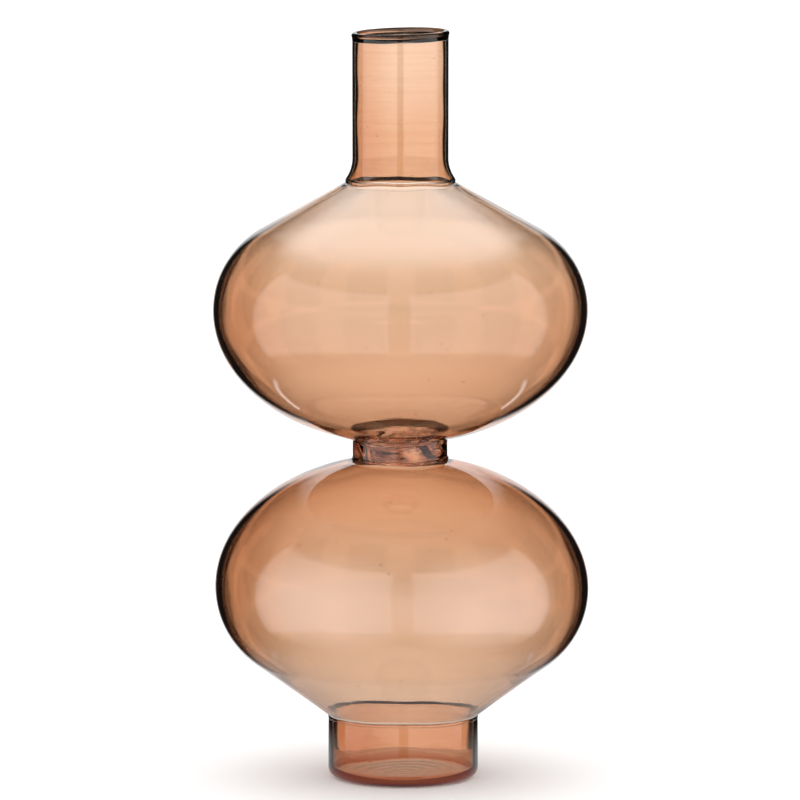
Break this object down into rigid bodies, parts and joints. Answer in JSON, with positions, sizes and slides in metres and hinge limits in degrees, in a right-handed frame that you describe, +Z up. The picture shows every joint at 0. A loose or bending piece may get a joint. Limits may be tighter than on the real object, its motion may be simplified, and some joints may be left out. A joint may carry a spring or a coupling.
{
  "type": "double-bulb bud vase",
  "caption": "Clear tinted glass bud vase: slim open neck, two stacked oblate bulbs joined by a short waist collar, and a closed cylindrical foot cup.",
  "frame": {"origin": "centre of the flat underside of the foot, on the table", "axes": "+Z up the vase's axis to the mouth, a figure of revolution about Z, -Y is the front"},
  "size_m": [0.13, 0.13, 0.26],
  "materials": {
    "tinted_glass": "clear fire-polished",
    "weld_glass": "clear, fused in the flame"
  },
  "bodies": {
    "root": {"lip": "tinted_glass", "neck": "tinted_glass", "neck_weld": "weld_glass", "upper_bulb": "tinted_glass", "upper_waist_weld": "weld_glass", "waist_collar": "tinted_glass", "lower_waist_weld": "weld_glass", "lower_bulb": "tinted_glass", "foot_weld": "weld_glass", "foot_cup": "tinted_glass"}
  },
  "joints": []
}
